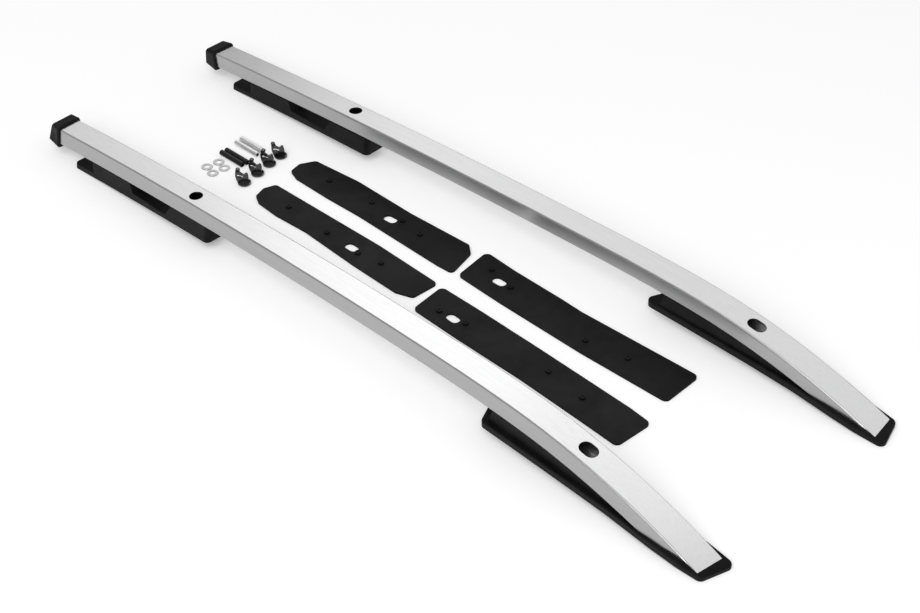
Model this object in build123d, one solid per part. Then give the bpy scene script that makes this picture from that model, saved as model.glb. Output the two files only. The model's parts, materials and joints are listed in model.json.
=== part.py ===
from build123d import *
import os
from math import atan, degrees, radians, tan

# A mirrored pair of roof side rails with their seals and fixings, in millimetres, +Z up.
# Each rail runs along its own U axis from the capped rear end (U = 0) to the swept nose.
# V points outward from the pair, which is -Y for the right rail and +Y for the left one.
os.makedirs("parts", exist_ok=True)

# layout of the pair on the floor
HALF_YAW = 1.017                # each rail opens outward toward the nose by this angle
RIGHT_ORIGIN = (-603.8, -140.9)
LEFT_ORIGIN = (-597.6, 140.9)
CENTRING = (2.5, 0.0, 0.0)      # brings the middle of the whole set to the origin

# crown of the rail: top line of the section, three blended radii
CROWN_TOP = 75.4
CROWN_AT = 784.0
CROWN_RADIUS = 9920.0
SWEEP_AT = 797.0
SWEEP_RADIUS = 2270.0
NOSE_AT = 917.0
NOSE_RADIUS = 1410.0
BOW = 4.1                       # sideways bow of the rail at mid length
BOW_LENGTH = 1276.0

# roof line under the feet
ROOF_TOP = 18.9
ROOF_AT = 628.0
ROOF_RADIUS = 8900.0

# hollow section of the rail
WIDTH_REAR = 33.8
WIDTH_NOSE = 40.7
NOSE_END = 1190.0
TOP_TILT = 2.05                 # top face falls toward the outside, degrees
DEPTH = 24.5
LEAN_OUT = 3.0
LEAN_IN = 2.4
EDGE_ROUND = 2.2
WALL = 2.3
RAIL_START = 2.0
HOLLOW_END = 1128.0
STATIONS = (0, 120, 240, 360, 480, 600, 720, 800, 870, 940, 1000, 1060, 1110, 1150, 1185, 1215)

# holes for the fixings
HOLE_AT = 296.5
SLOT_AT = 1001.0
SLOT_SHIFT_LEFT = -4.5           # the two rails are slotted separately
ACCESS_RADIUS = 9.5
SLOT_LENGTH = 26.0
BOLT_RADIUS = 4.5
HOLE_SIDE = 1.3

SEAT = 0.3                      # clearance between seated pieces

# rear end cap
CAP_REAR = -4.8
CAP_BAND = 12.8
CAP_FRONT = 15.8
CAP_LIP = 3.0
CAP_COLLAR = 1.9                # what stands round the rail at the front edge
CAP_UNDER = 5.8
CAP_RAKE = 4.0                  # the rear face leans back by this at the bottom
CAP_ROUND = 3.8
CAP_LEAN = 3.0                  # the outer side of the cap leans in toward its rear top edge
CAP_PLUG = 9.0

# feet
FLANGE = 9.0
REAR_FLANGE = 7.5
FOOT_FLOOR = 3.0                # web left under the nose of the rail
FOOT_REAR = 48.0
FOOT_FRONT = 337.0
FOOT_OUT = 22.4
FOOT_IN = 17.6
FOOT_FLARE = 1.4                # each side of the rear foot turns inward toward the front
FOOT_ROUND = 7.0
BLOCK_REAR = 86.0
BLOCK_OUT = 19.3                # half widths where the foot meets the underside of the rail
BLOCK_IN = 14.3
CRADLE = 1.2                    # the foot reaches this far up round the lower corners of the rail
WINDOW = ((178.0, 0.0), (248.0, 0.0), (275.0, 40.0), (158.0, 40.0))
RIB_PITCH = 34.0
RIB = 3.0
POCKET_DEPTH = 5.5
SPOT_RADIUS = 8.6               # flat seat round each stud hole in the underside of a foot
SPOT_DEPTH = 0.8

# loose seals and fixings
PAD_THICKNESS = 3.0
PEG_RADIUS = 4.2
PEG_HEIGHT = 2.4
DIMPLE_RADIUS = 1.5
WASHER_RADIUS = 8.0
WASHER_BORE = 4.2
WASHER_THICKNESS = 1.6
SLEEVE_RADIUS = 4.0
SLEEVE_BORE = 2.6
SLEEVE_LENGTH = 46.0
PLUG_RADIUS = 9.4
PLUG_HEAD = 3.4                 # height of the dished head
PLUG_WALL = 1.3
PLUG_LATCH = 4.0                # thickness of the upright latch
PLUG_LATCH_BACK = 3.2           # the latch stands this far behind the middle of the head
PLUG_HOOK = 19.0                # height of the rounded hook
HOOK_RADIUS = 3.2


def crown(u):
    """height of the middle of the top face"""
    z = CROWN_TOP - (u - CROWN_AT) ** 2 / (2 * CROWN_RADIUS)
    z -= max(0.0, u - SWEEP_AT) ** 2 / (2 * SWEEP_RADIUS)
    z -= max(0.0, u - NOSE_AT) ** 2 / (2 * NOSE_RADIUS)
    return z


def roof(u):
    """height of the underside of the feet"""
    return ROOF_TOP - (u - ROOF_AT) ** 2 / (2 * ROOF_RADIUS)


def middle(u):
    """sideways place of the section, toward the inside of the pair"""
    t = u / BOW_LENGTH
    return BOW * 4 * t * (1 - t)


def width(u):
    return WIDTH_REAR + (WIDTH_NOSE - WIDTH_REAR) * u / NOSE_END


def section(u, grow=0.0, under=0.0, corner=EDGE_ROUND, rake=0.0, lean=0.0):
    """face of the rail section across U, grown on every side; rake leans its lower side back"""
    half = width(u) / 2
    slope = tan(radians(TOP_TILT)) * half
    c = middle(u)
    low = -DEPTH - grow - under
    outline = Polygon(
        (c - half - grow + lean, grow - slope),
        (c - half - LEAN_OUT - grow, low),
        (c + half - LEAN_IN + grow, low),
        (c + half + grow, grow + slope),
        align=None,
    )
    outline = fillet(outline.vertices(), corner)
    across = Plane(origin=(u, 0, crown(u)), x_dir=(0, 1, 0), z_dir=(1, 0, -rake / DEPTH))
    return across * outline


def envelope(grow, corner):
    """the whole bent bar, solid"""
    return loft([section(u, grow, corner=corner) for u in STATIONS])


def side_body(points_low, points_high, y_low, y_high):
    """solid between two smooth lines seen from the side, pulled across Y"""
    bottom = Spline(*[Vector(u, 0, z) for u, z in points_low])
    top = Spline(*[Vector(u, 0, z) for u, z in points_high])
    ends = [Line(bottom @ 0, top @ 0), Line(bottom @ 1, top @ 1)]
    face = make_face([bottom, top] + ends)
    return extrude(face, amount=y_high - y_low, dir=(0, 1, 0)).moved(Location((0, y_low, 0)))


def prism(points, radius, low=-20.0, high=120.0):
    """upright prism with rounded corners"""
    plan = Polygon(*points, align=None)
    plan = fillet(plan.vertices(), radius)
    return extrude(plan, amount=high - low, dir=(0, 0, 1)).moved(Location((0, 0, low)))


def nose_plan(grow):
    """plan of the rail end: skewed tip with rounded corners"""
    plan = Polygon(
        (-80, -60),
        (1080, -60),
        (1140, -19.8 - grow),
        (1191.5 + grow, -18.0 - grow),
        (1197.6 + grow, -2.0),
        (1201.2 + grow, 19.0 + grow),
        (1150, 22.4 + grow),
        (1080, 60),
        (-80, 60),
        align=None,
    )
    tip = plan.vertices().sort_by(Axis.X)
    plan = fillet(tip[-1:], 6.5)
    tip = plan.vertices().group_by(Axis.X)
    outer = plan.vertices().filter_by_position(Axis.Y, -30, -10).sort_by(Axis.X)[-1:]
    plan = fillet(outer, 3.5)
    return extrude(plan, amount=140, dir=(0, 0, 1)).moved(Location((0, 0, -20)))


def under_nose(lift):
    """space below the web of the front foot"""
    places = (1090, 1125, 1160, 1190, 1230)
    high = [(u, roof(u) + FOOT_FLOOR + lift) for u in places]
    low = [(u, -30.0) for u in places]
    return side_body(low, high, -60, 60)


def make_rail(slot_at):
    bar = envelope(0.0, EDGE_ROUND) & nose_plan(0.0)
    bar = bar - under_nose(0.0)
    hollow = loft([section(u, -WALL, corner=0.9) for u in STATIONS if u <= HOLLOW_END])
    bar = bar - hollow
    rear = Box(40, 120, 200, align=(Align.MAX, Align.CENTER, Align.CENTER))
    bar = bar - rear.moved(Location((RAIL_START, 0, 40)))
    access = Cylinder(ACCESS_RADIUS, 20)
    bar = bar - access.moved(Location((HOLE_AT, middle(HOLE_AT) - HOLE_SIDE, crown(HOLE_AT))))
    slot = extrude(SlotOverall(SLOT_LENGTH, 2 * ACCESS_RADIUS), amount=20)
    tilt = Location((slot_at, middle(slot_at), crown(slot_at) - 10), (0, 9, 0))
    bar = bar - slot.moved(tilt)
    for u in (HOLE_AT, SLOT_AT):
        bolt = Cylinder(BOLT_RADIUS, 20)
        bar = bar - bolt.moved(Location((u, middle(u), crown(u) - DEPTH)))
    return bar


def make_cap():
    """band round the rail end with a raked rear face and a thin collar at its front"""
    shell = loft(
        [
            section(CAP_REAR, 0.6, -2.6, CAP_ROUND, CAP_RAKE, CAP_LEAN),
            section(CAP_REAR + 2.2, CAP_LIP, -2.0, CAP_ROUND + 0.6, CAP_RAKE, CAP_LEAN),
            section(CAP_BAND, CAP_LIP, CAP_UNDER - CAP_LIP, CAP_ROUND),
            section(CAP_FRONT, CAP_COLLAR, CAP_UNDER - CAP_LIP - 0.6, CAP_ROUND - 0.8),
        ],
        ruled=True,
    )
    recess = loft([section(u, SEAT) for u in (RAIL_START - SEAT, CAP_FRONT + 2)], ruled=True)
    cap = shell - recess
    tongue = loft(
        [section(u, -WALL - SEAT, corner=0.9) for u in (RAIL_START - 1.5, RAIL_START + CAP_PLUG)],
        ruled=True,
    )
    return cap + tongue


def ribs(first, last, half_out, half_in, keep):
    """row of pockets in the underside with ribs left between them"""
    cuts = []
    u = first
    while u + RIB_PITCH - RIB < last:
        far = u + RIB_PITCH - RIB
        if far < keep - 9 or u > keep + 9:
            z = roof((u + far) / 2) + POCKET_DEPTH
            outer, inner = middle(u) - half_out, middle(u) + half_in
            cell = Box(far - u, inner - outer, 40, align=(Align.MIN, Align.MIN, Align.MAX))
            cuts.append(cell.moved(Location((u, outer, z))))
        u += RIB_PITCH
    return cuts


def foot_side(u, offset):
    """sideways place of an edge of the rear foot"""
    return middle(u) + offset + FOOT_FLARE * (u - FOOT_REAR) / (FOOT_FRONT - FOOT_REAR)


def tapered(rear):
    """rear foot drawn in from the roof up to the underside of the rail"""
    faces = []
    for z_rear, z_front, out, inn in (
        (roof(FOOT_REAR) - 2, roof(FOOT_FRONT) - 2, FOOT_OUT, FOOT_IN),
        (crown(FOOT_REAR) - DEPTH, crown(FOOT_FRONT) - DEPTH, BLOCK_OUT, BLOCK_IN),
    ):
        rise = (z_front - z_rear) / (FOOT_FRONT - FOOT_REAR)
        plan = Polygon(
            (rear, foot_side(rear, -out)),
            (FOOT_FRONT, foot_side(FOOT_FRONT, -out)),
            (FOOT_FRONT, foot_side(FOOT_FRONT, inn)),
            (rear, foot_side(rear, inn)),
            align=None,
        )
        plan = fillet(plan.vertices(), FOOT_ROUND)
        plan = plan.moved(Location((0, 0, 0), (0, -degrees(atan(rise)), 0)))
        faces.append(plan.moved(Location((0, 0, z_rear - rise * FOOT_REAR))))
    return loft(faces, ruled=True)


def make_rear_foot(bar):
    """tongue, two blocks with an open window between them, square front end"""
    places = (FOOT_REAR - 6, 120, 195, 270, FOOT_FRONT + 6)
    low = [(u, roof(u)) for u in places]
    plate = side_body(low, [(u, roof(u) + REAR_FLANGE) for u in places], -60, 60)
    tongue = plate & tapered(FOOT_REAR)
    rims = [e for e in tongue.edges() if on_top(e, REAR_FLANGE)]
    tongue = fillet(rims, 1.2)
    body = side_body(
        [(u, roof(u) + 4) for u in places], [(u, crown(u) - DEPTH + CRADLE) for u in places], -60, 60
    )
    body = body & tapered(BLOCK_REAR)
    base = roof(215) + REAR_FLANGE + 1.0
    window = Polyline(*[Vector(u, 0, base + z) for u, z in WINDOW], close=True)
    opening = extrude(make_face(window), amount=120, dir=(0, 1, 0)).moved(Location((0, -60, 0)))
    foot = tongue + (body - opening)
    foot = foot - bar
    foot = foot - stud_hole(HOLE_AT)
    for cell in ribs(FOOT_REAR + 12, FOOT_FRONT - 4, FOOT_OUT - 5.5, FOOT_IN - 5.5, HOLE_AT):
        foot = foot - cell
    return foot


def stud_hole(u):
    """bore for the stud and the flat seat round its lower mouth"""
    bolt = Cylinder(BOLT_RADIUS, 160)
    spot = Cylinder(SPOT_RADIUS, 60, align=(Align.CENTER, Align.CENTER, Align.MAX))
    bore = bolt + spot.moved(Location((0, 0, roof(u) + SPOT_DEPTH)))
    return bore.moved(Location((u, middle(u), 0)))


def on_top(edge, height):
    """true for an edge that lies on the upper side of a flange"""
    c = edge @ 0.5
    return abs(c.Z - roof(c.X) - height) < 0.35 and abs((edge @ 0).Z - roof((edge @ 0).X) - height) < 0.35


def make_front_foot(bar):
    """base flange with a rim round the rail tip and an inset wall up to the rail"""
    low_at = (826, 900, 990, 1080, 1150, 1225)
    low = [(u, roof(u)) for u in low_at]
    high = [(u, roof(u) + FLANGE) for u in (826, 900, 990, 1060, 1110)]
    high += [(1150, roof(1150) + 8.2), (1185, roof(1185) + 6.4), (1225, roof(1225) + 4.6)]
    plate = side_body(low, high, -60, 60)
    plan = [
        (851, middle(855) - 24.4),
        (1050, middle(1050) - 24.4),
        (1120, -24.8),
        (1160, -24.8),
        (1194, -22.0),
        (1207.5, 24.8),
        (1165, 26.4),
        (1130, 25.0),
        (1070, 21.0),
        (1000, 19.6),
        (833, 18.4),
    ]
    flange = plate & prism(plan, 8.0)
    rims = [e for e in flange.edges() if (e @ 0.5).Z > roof((e @ 0.5).X) + 3.6 and abs((e % 0.5).Z) < 0.7]
    flange = fillet(rims, 1.6)
    body = side_body(
        [(u, roof(u) + 4) for u in (830, 900, 980, 1060, 1140)],
        [(u, crown(u) - 12) for u in (830, 900, 980, 1060, 1140)],
        -60,
        60,
    )
    wall_plan = [
        (840, middle(855) - 17.6),
        (1020, middle(1020) - 18.2),
        (1130, middle(1130) - 18.2),
        (1130, middle(1130) + 13.0),
        (1020, middle(1020) + 13.0),
        (840, middle(845) + 12.6),
    ]
    body = body & prism(wall_plan, 3.0)
    base = roof(856) + FLANGE
    rake = Polyline(
        Vector(810, 0, base - 12), Vector(852, 0, base - 12), Vector(870, 0, base + 32), Vector(810, 0, base + 32),
        close=True,
    )
    body = body - extrude(make_face(rake), amount=120, dir=(0, 1, 0)).moved(Location((0, -60, 0)))
    foot = flange + body
    foot = foot - bar
    foot = foot - stud_hole(SLOT_AT)
    for cell in ribs(862, 1118, 13.5, 9.5, SLOT_AT):
        foot = foot - cell
    return foot


def make_pad(outline, corner, pegs, slot):
    """flat rubber pad with raised pegs, each with a dimple, and an oval hole"""
    plan = Polygon(*outline, align=None)
    plan = fillet(plan.vertices(), corner)
    pad = extrude(plan, amount=PAD_THICKNESS, dir=(0, 0, 1))
    for x, y in pegs:
        peg = Cylinder(PEG_RADIUS, PEG_HEIGHT + 1, align=(Align.CENTER, Align.CENTER, Align.MIN))
        top = peg.edges().sort_by(Axis.Z)[-1]
        peg = chamfer(top, 0.6)
        dimple = Cylinder(DIMPLE_RADIUS, 2).moved(Location((0, 0, PEG_HEIGHT + 1)))
        pad = pad + (peg - dimple).moved(Location((x, y, PAD_THICKNESS - 1)))
    x, y, angle = slot
    oval = extrude(SlotOverall(21, 13.5), amount=20)
    return pad - oval.moved(Location((x, y, -5), (0, 0, angle)))


def make_washer():
    ring = Cylinder(WASHER_RADIUS, WASHER_THICKNESS) - Cylinder(WASHER_BORE, 10)
    rims = ring.edges().filter_by(GeomType.CIRCLE).sort_by(SortBy.RADIUS)[-2:]
    ring = chamfer(rims, 0.25)
    return ring.moved(Location((0, 0, WASHER_THICKNESS / 2)))


def make_sleeve():
    """tube lying along X, its middle at the origin"""
    tube = Cylinder(SLEEVE_RADIUS, SLEEVE_LENGTH, rotation=(0, 90, 0))
    tube = chamfer(tube.edges().filter_by(GeomType.CIRCLE), 0.5)
    tube = tube - Cylinder(SLEEVE_BORE, SLEEVE_LENGTH + 10, rotation=(0, 90, 0))
    return tube.moved(Location((0, 0, SLEEVE_RADIUS)))


def make_plug():
    """shallow dish, rim up, with an upright latch: a hook leaning out on a slotted web"""
    r = PLUG_RADIUS
    wall = PLUG_WALL
    profile = Polyline(
        (0, 0, 0), (r - 1.8, 0, 0), (r, 0, 1.6), (r, 0, PLUG_HEAD), (r - wall, 0, PLUG_HEAD), (r - wall - 0.9, 0, wall + 0.4), (0, 0, wall),
        close=True,
    )
    head = revolve(make_face(profile), Axis.Z)
    top = PLUG_HOOK
    outline = Polygon(
        (-8.6, 0.6),
        (-11.2, top * 0.42),
        (-12.3, top * 0.74),
        (-12.0, top),
        (-6.0, top + 1.4),
        (-5.0, top - 0.4),
        (-1.6, top - 3.6),
        (0.6, top - 3.4),
        (3.2, top - 1.2),
        (5.0, top - 2.8),
        (5.8, top - 6.4),
        (6.6, 0.6),
        align=None,
    )
    outline = fillet(outline.vertices().filter_by_position(Axis.Y, 2, 40), 0.7)
    slot = Polygon(
        (-9.8, top - 7.4), (-9.8, top - 3.2), (-7.4, top - 3.2), (-1.4, top - 6.0), (-1.4, top - 10.6), (-6.2, top - 7.2),
        align=None,
    )
    outline = outline - fillet(slot.vertices(), 0.5)
    upright = Plane(origin=(0, PLUG_LATCH_BACK, 0), x_dir=(1, 0, 0), z_dir=(0, -1, 0))
    latch = extrude(upright * outline, amount=-PLUG_LATCH)
    hook = Cylinder(HOOK_RADIUS, PLUG_LATCH + 1.6, rotation=(90, 0, 0))
    hook = hook.moved(Location((-8.8, PLUG_LATCH_BACK + PLUG_LATCH / 2, top + 0.3)))
    brace = Box(3.0, 6.0, 9.0, align=(Align.CENTER, Align.MIN, Align.MIN))
    brace = brace.moved(Location((3.6, PLUG_LATCH_BACK - 4.4, 0.8)))
    brace = brace - Box(8, 9, 30, rotation=(38, 0, 0)).moved(Location((3.6, -4.6, 12.0)))
    return head + latch + hook + brace


def place(piece, left):
    """put a piece of the right-hand rail in its place, or its mirror image for the left"""
    if left:
        image = mirror(piece, about=Plane.XZ)
        return image.moved(Location((LEFT_ORIGIN[0], LEFT_ORIGIN[1], 0), (0, 0, HALF_YAW)))
    return piece.moved(Location((RIGHT_ORIGIN[0], RIGHT_ORIGIN[1], 0), (0, 0, -HALF_YAW)))


def save(piece, name):
    solids = piece.solids()
    shape = solids[0] if len(solids) == 1 else Compound(children=solids)
    shape = shape.moved(Location(CENTRING))
    shape.label = name
    export_step(shape, "parts/" + name + ".step")


right_rail = make_rail(SLOT_AT)
left_rail = make_rail(SLOT_AT + SLOT_SHIFT_LEFT)
seat = envelope(SEAT, EDGE_ROUND) & nose_plan(SEAT)
seat = seat - under_nose(-SEAT)
cap = make_cap()
rear_foot = make_rear_foot(seat)
front_foot = make_front_foot(seat)

for side, left, rail in (("right", False, right_rail), ("left", True, left_rail)):
    save(place(rail, left), side + "_rail")
    save(place(cap, left), side + "_end_cap")
    save(place(rear_foot, left), side + "_rear_foot")
    save(place(front_foot, left), side + "_front_foot")

right_short = make_pad(
    [
        (-315.4, -36), (-321, -17), (-314.6, 1.2), (-110, 2.2), (4, -2.6), (1, -45),
        (-24, -53.5), (-105, -51), (-205, -44.5), (-262, -47), (-301, -44),
    ],
    6.0,
    [(-263, -22), (-182, -26), (-119, -29), (-81, -23)],
    (-134, -26, 0),
)
left_short = make_pad(
    [
        (-324.4, 37.6), (-328.2, 57.6), (-316.6, 79), (-237, 85.5), (-130, 82.8), (-24, 86.5),
        (-9, 74), (2, 27), (-26, 25.8), (-180, 30.5), (-242, 29.5), (-306, 31),
    ],
    6.0,
    [(-268, 59), (-188, 64), (-127, 63), (-88, 57)],
    (-142, 54.5, 3),
)
right_long = make_pad(
    [
        (18, -62), (13, -4), (85, -5.2), (192, -9), (346, -16), (382, -20),
        (378, -78.5), (330, -75.2), (212, -68.2), (100, -65.6),
    ],
    7.5,
    [(46, -42), (88, -37), (228, -34), (291, -42)],
    (69, -40.5, -4),
)
left_long = make_pad(
    [
        (11, 29), (4, 91), (60, 87), (142, 85), (180, 83), (340, 87.4),
        (369, 88), (370, 23.5), (232, 21.6), (90, 25),
    ],
    7.5,
    [(35, 68), (79, 57), (221, 43), (283, 53)],
    (60, 56, 0),
)
save(right_short, "right_short_pad")
save(left_short, "left_short_pad")
save(right_long, "right_long_pad")
save(left_long, "left_long_pad")

for n, (x, y) in enumerate(((-419.8, -35.2), (-416.8, -16.2), (-400, -20.4), (-402.3, -39.7)), 1):
    save(make_washer().moved(Location((x, y, 0))), "washer_%d" % n)
for n, (x, y, turn) in enumerate(((-406.5, 0, 0), (-405.5, 2 * SLEEVE_RADIUS + SEAT, 0)), 1):
    save(make_sleeve().moved(Location((x, y, 0), (0, 0, turn))), "black_sleeve_%d" % n)
for n, (x, y, turn) in enumerate(((-410, 31, 0), (-411.5, 42, 0)), 1):
    save(make_sleeve().moved(Location((x, y, 0), (0, 0, turn))), "bright_sleeve_%d" % n)
for n, (x, y, turn) in enumerate(
    ((-351.1, -25.4, 45), (-355, 2.6, 37), (-360.3, 29.6, 39), (-363.8, 54.1, 59)), 1
):
    save(make_plug().moved(Location((x, y, 0), (0, 0, turn))), "plug_%d" % n)
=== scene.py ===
import json
import math

import bpy
from mathutils import Matrix, Vector

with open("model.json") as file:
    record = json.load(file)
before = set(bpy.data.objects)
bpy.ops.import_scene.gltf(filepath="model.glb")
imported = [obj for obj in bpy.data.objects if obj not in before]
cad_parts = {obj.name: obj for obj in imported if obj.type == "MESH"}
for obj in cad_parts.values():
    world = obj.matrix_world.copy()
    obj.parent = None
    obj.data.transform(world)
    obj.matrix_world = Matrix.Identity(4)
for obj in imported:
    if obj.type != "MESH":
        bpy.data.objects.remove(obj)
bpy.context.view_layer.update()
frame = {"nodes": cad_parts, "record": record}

# The laid-out pair of roof side rails in metres, +Z up: the CAD solids get their finishes here,
# and stand on a pale floor under soft studio light.
nodes = frame["nodes"]
scene = bpy.context.scene
WHITE = (1.0, 1.0, 1.0, 1.0)


class Material:
    """node material: a principled shader whose colour, roughness and normal follow noise in the
    piece's own coordinates"""

    def __init__(self, name, metallic=0.0, specular=0.5):
        self.material = bpy.data.materials.new(name)
        self.material.use_nodes = True
        self.tree = self.material.node_tree
        self.shader = next(n for n in self.tree.nodes if n.type == "BSDF_PRINCIPLED")
        self.set("Metallic", metallic)
        self.set("Specular IOR Level", specular)
        self.place = self.add("ShaderNodeTexCoord").outputs["Object"]
        self.normal = None

    def add(self, kind, **settings):
        node = self.tree.nodes.new(kind)
        for key, value in settings.items():
            setattr(node, key, value)
        return node

    def set(self, socket, value):
        self.shader.inputs[socket].default_value = value

    def link(self, source, target):
        self.tree.links.new(source, target)

    def noise(self, scale, detail=3.0, stretch=(1, 1, 1)):
        """fractal noise in the piece's coordinates, which are scaled by stretch first"""
        mapping = self.add("ShaderNodeMapping")
        mapping.inputs["Scale"].default_value = stretch
        self.link(self.place, mapping.inputs["Vector"])
        node = self.add("ShaderNodeTexNoise")
        node.inputs["Scale"].default_value = scale
        node.inputs["Detail"].default_value = detail
        node.inputs["Roughness"].default_value = 0.55
        self.link(mapping.outputs["Vector"], node.inputs["Vector"])
        return node.outputs["Fac"]

    def spread(self, value, low, high, start=0.3, end=0.7):
        """straight line from low at start to high at end, level outside them"""
        node = self.add("ShaderNodeMapRange")
        limits = {"From Min": start, "From Max": end, "To Min": low, "To Max": high}
        for socket, limit in limits.items():
            node.inputs[socket].default_value = limit
        self.link(value, node.inputs["Value"])
        return node.outputs["Result"]

    def colour(self, noise, dark, light):
        """base colour between two colours"""
        node = self.add("ShaderNodeMix", data_type="RGBA")
        factor, first, second = node.inputs[0], node.inputs[6], node.inputs[7]
        self.link(self.spread(noise, 0, 1), factor)
        first.default_value = (*dark, 1.0)
        second.default_value = (*light, 1.0)
        self.link(node.outputs[2], self.shader.inputs["Base Color"])

    def grey(self, noise, dark, light):
        """base colour between two neutral greys"""
        self.colour(noise, (dark, dark, dark), (light, light, light))

    def roughness(self, noise, low, high):
        self.link(self.spread(noise, low, high), self.shader.inputs["Roughness"])

    def bump(self, height, depth):
        """raise the surface by height times depth in metres, on top of any earlier bump"""
        node = self.add("ShaderNodeBump")
        node.inputs["Strength"].default_value = 1.0
        node.inputs["Distance"].default_value = depth
        self.link(height, node.inputs["Height"])
        if self.normal is not None:
            self.link(self.normal, node.inputs["Normal"])
        self.normal = node.outputs["Normal"]
        self.link(self.normal, self.shader.inputs["Normal"])


def satin_aluminium():
    """anodised satin silver with a fine pearl grain and faint drawing lines along the bar"""
    m = Material("satin_aluminium", metallic=1.0)
    lines = m.noise(520, detail=4, stretch=(0.03, 1, 1))
    m.colour(lines, (0.405, 0.405, 0.406), (0.435, 0.435, 0.436))
    m.roughness(m.noise(700), 0.27, 0.35)
    m.bump(m.noise(2600, detail=1), depth=0.00001)
    m.bump(m.noise(420, detail=3, stretch=(0.02, 1, 1)), depth=0.000006)
    return m.material


def black_plastic():
    """moulded black plastic with a fine grain, for the feet and end caps"""
    m = Material("black_plastic", specular=0.1)
    m.colour(m.noise(40), (0.004, 0.004, 0.0042), (0.009, 0.009, 0.0094))
    m.roughness(m.noise(300), 0.36, 0.5)
    m.bump(m.noise(1800, detail=2), depth=0.00003)
    return m.material


def black_rubber():
    """moulded rubber of the pads, with slow changes of sheen"""
    m = Material("black_rubber", specular=0.07)
    m.grey(m.noise(60, detail=6), 0.004, 0.007)
    m.roughness(m.noise(14, detail=5), 0.4, 0.6)
    m.bump(m.noise(1100, detail=3), depth=0.00005)
    return m.material


def zinc_steel(name, dark, light):
    """zinc plate with drawing marks, between two greys"""
    m = Material(name, metallic=1.0)
    m.grey(m.noise(300, stretch=(0.15, 1, 1)), dark, light)
    m.roughness(m.noise(700), 0.28, 0.44)
    m.bump(m.noise(1500, detail=2, stretch=(0.1, 1, 1)), depth=0.00002)
    return m.material


def black_steel():
    """black coated tube with long streaks"""
    m = Material("black_steel", specular=0.16)
    m.grey(m.noise(600, stretch=(0.04, 1, 1)), 0.004, 0.016)
    m.roughness(m.noise(700, stretch=(0.1, 1, 1)), 0.22, 0.4)
    m.bump(m.noise(900, detail=2, stretch=(0.03, 1, 1)), depth=0.0001)
    return m.material


def gloss_black_plastic():
    """semi gloss moulded black plastic of the hole plugs"""
    m = Material("gloss_black_plastic", specular=0.85)
    m.grey(m.noise(90), 0.003, 0.007)
    m.roughness(m.noise(400), 0.16, 0.3)
    m.bump(m.noise(900, detail=2), depth=0.00002)
    return m.material


finishes = {
    "satin_aluminium": satin_aluminium(),
    "black_plastic": black_plastic(),
    "black_rubber": black_rubber(),
    "zinc_steel": zinc_steel("zinc_steel", 0.34, 0.42),
    "bright_zinc": zinc_steel("bright_zinc", 0.6, 0.7),
    "black_steel": black_steel(),
    "gloss_black_plastic": gloss_black_plastic(),
}


def dress(name, finish):
    """give a CAD node its finish"""
    piece = nodes[name]
    piece.data.materials.clear()
    piece.data.materials.append(finishes[finish])


# the feet and end caps keep out of the glow of the back panels
shiny = bpy.data.collections.new("shiny_pieces")
for part in frame["record"]["subparts"]:
    name, slot = part["node"], part["material_slot"]
    dress(name, "bright_zinc" if name.startswith("bright_sleeve") else slot)
    if slot != "black_plastic":
        shiny.objects.link(nodes[name])
near_bar = bpy.data.collections.new("near_bar")
near_bar.objects.link(nodes["right_rail"])

FLOOR_REACH = 12.0
FLOOR_COLOUR = (0.93, 0.93, 0.93, 1.0)
FLOOR_LIFT = 0.2                # added where the floor is seen or mirrored, so that it is white


def floor():
    """pale floor that runs out of the picture: one square of four corners at z = 0"""
    r = FLOOR_REACH
    mesh = bpy.data.meshes.new("floor")
    mesh.from_pydata([(-r, -r, 0), (r, -r, 0), (r, r, 0), (-r, r, 0)], [], [(0, 1, 2, 3)])
    piece = bpy.data.objects.new("floor", mesh)
    scene.collection.objects.link(piece)
    m = Material("floor", specular=0.0)
    m.set("Base Color", FLOOR_COLOUR)
    m.set("Roughness", 0.9)
    ray = m.add("ShaderNodeLightPath")
    direct = m.add("ShaderNodeMath", operation="MAXIMUM")
    m.link(ray.outputs["Is Camera Ray"], direct.inputs[0])
    m.link(ray.outputs["Is Glossy Ray"], direct.inputs[1])
    m.set("Emission Color", WHITE)
    lift = m.spread(direct.outputs[0], 0.0, FLOOR_LIFT, 0.0, 1.0)
    m.link(lift, m.shader.inputs["Emission Strength"])
    mesh.materials.append(m.material)


def white_surround(strength, background):
    """even white surround; the camera sees the background strength"""
    world = bpy.data.worlds.new("surround")
    scene.world = world
    world.use_nodes = True
    tree = world.node_tree
    tree.nodes.clear()
    path = tree.nodes.new("ShaderNodeLightPath")
    soft = tree.nodes.new("ShaderNodeBackground")
    soft.inputs["Strength"].default_value = strength
    clean = tree.nodes.new("ShaderNodeBackground")
    clean.inputs["Strength"].default_value = background
    mix = tree.nodes.new("ShaderNodeMixShader")
    out = tree.nodes.new("ShaderNodeOutputWorld")
    tree.links.new(path.outputs["Is Camera Ray"], mix.inputs[0])
    tree.links.new(soft.outputs[0], mix.inputs[1])
    tree.links.new(clean.outputs[0], mix.inputs[2])
    tree.links.new(mix.outputs[0], out.inputs["Surface"])


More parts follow.
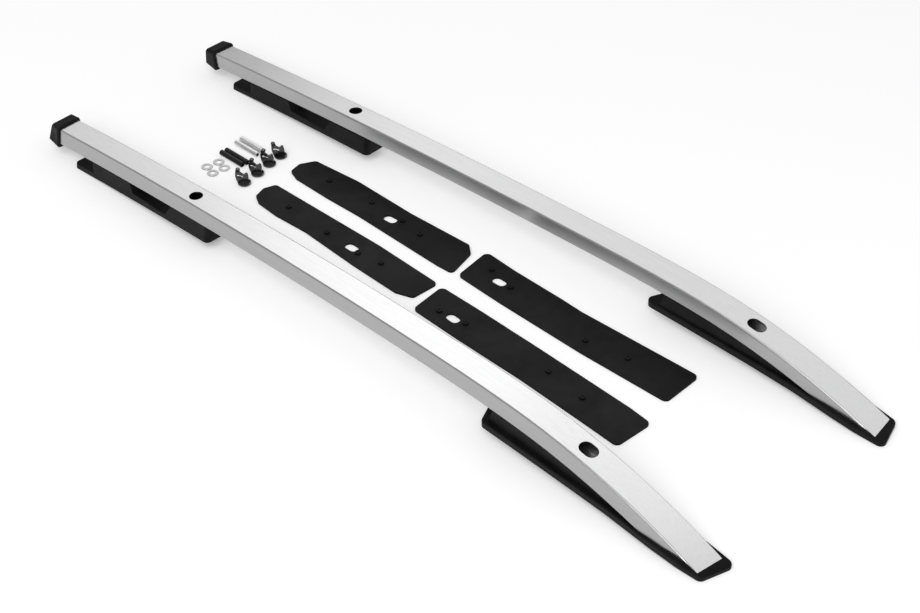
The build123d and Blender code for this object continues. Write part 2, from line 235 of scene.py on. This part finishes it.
MIDDLE = (0.0, 0.0, 0.0)
NEAR_REAR_END = (-0.5, -0.16, 0.07)


def softbox(name, place, size, power, aim=MIDDLE, only=None):
    """rectangular light at place, facing aim; it lights every piece, or only a collection"""
    light = bpy.data.lights.new(name, "AREA")
    light.shape = "RECTANGLE"
    light.size, light.size_y = size
    light.energy = power
    holder = bpy.data.objects.new(name, light)
    holder.location = place
    holder.rotation_euler = (Vector(aim) - Vector(place)).to_track_quat("-Z", "Y").to_euler()
    scene.collection.objects.link(holder)
    if only is not None:
        holder.light_linking.receiver_collection = only


CAMERA = (1.5324, -1.5313, 1.6988)
AIM = (0.0588, -0.0146, 0.0)
ROLL = -0.335                   # degrees
LENS, SENSOR = 82.057, 36.0     # focal length and sensor width in millimetres


def photo_camera():
    """camera at the angle of the photograph, from above the nose of the right rail"""
    data = bpy.data.cameras.new("photo_camera")
    data.lens = LENS
    data.sensor_width = SENSOR
    data.clip_start, data.clip_end = 0.05, 60.0
    camera = bpy.data.objects.new("photo_camera", data)
    scene.collection.objects.link(camera)
    back = (Vector(CAMERA) - Vector(AIM)).normalized()
    right = Vector((0, 0, 1)).cross(back).normalized()
    up = back.cross(right)
    c, s = math.cos(math.radians(ROLL)), math.sin(math.radians(ROLL))
    right, up = right * c + up * s, up * c - right * s
    turn = Matrix((right, up, back)).transposed().to_4x4()
    camera.matrix_world = Matrix.Translation(CAMERA) @ turn
    scene.camera = camera


floor()
white_surround(strength=0.67, background=1.0)
softbox("key", place=(2.0, -3.8, 4.6), size=(5.2, 4.4), power=222)
softbox("panel", place=(-0.35, 1.95, 2.35), size=(5.0, 3.4), power=60, only=shiny)
softbox("rear", place=(-2.18, 1.42, 2.19), size=(1.7, 2.4), power=5.5, only=shiny)
softbox("back", place=(-0.8, 2.1, 2.45), size=(3.8, 2.6), power=18, only=near_bar)
softbox("low_rear", place=(-1.7, 0.5, 0.78), size=(1.0, 0.7), power=1.5,
        aim=NEAR_REAR_END, only=near_bar)
photo_camera()
scene.view_settings.view_transform = "Standard"
